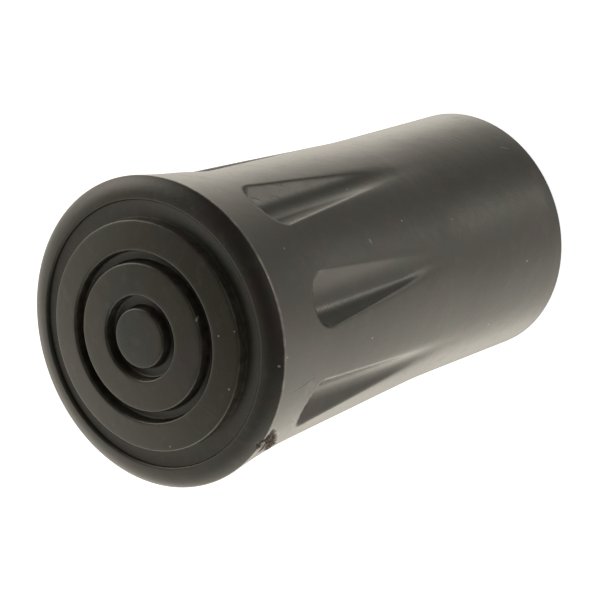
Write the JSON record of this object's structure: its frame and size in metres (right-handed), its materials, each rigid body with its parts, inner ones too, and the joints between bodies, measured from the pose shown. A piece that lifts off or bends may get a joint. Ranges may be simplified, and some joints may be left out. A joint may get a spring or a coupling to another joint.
{
  "type": "trekking pole tip",
  "caption": "Slip-on rubber tip for the foot of a trekking pole: flared body with pressed-in flutes, ringed tread and a blind bore.",
  "frame": {"origin": "centre of the mouth, on the plane that the tip stands on", "axes": "+Z along the axis, from the open mouth towards the ringed tread; one flute is near the -Y side"},
  "size_m": [0.03, 0.03, 0.0528],
  "materials": {
    "rubber": "matte moulded rubber, charcoal with a light grey bloom"
  },
  "bodies": {
    "root": {"rubber_tip": "rubber"}
  },
  "joints": []
}
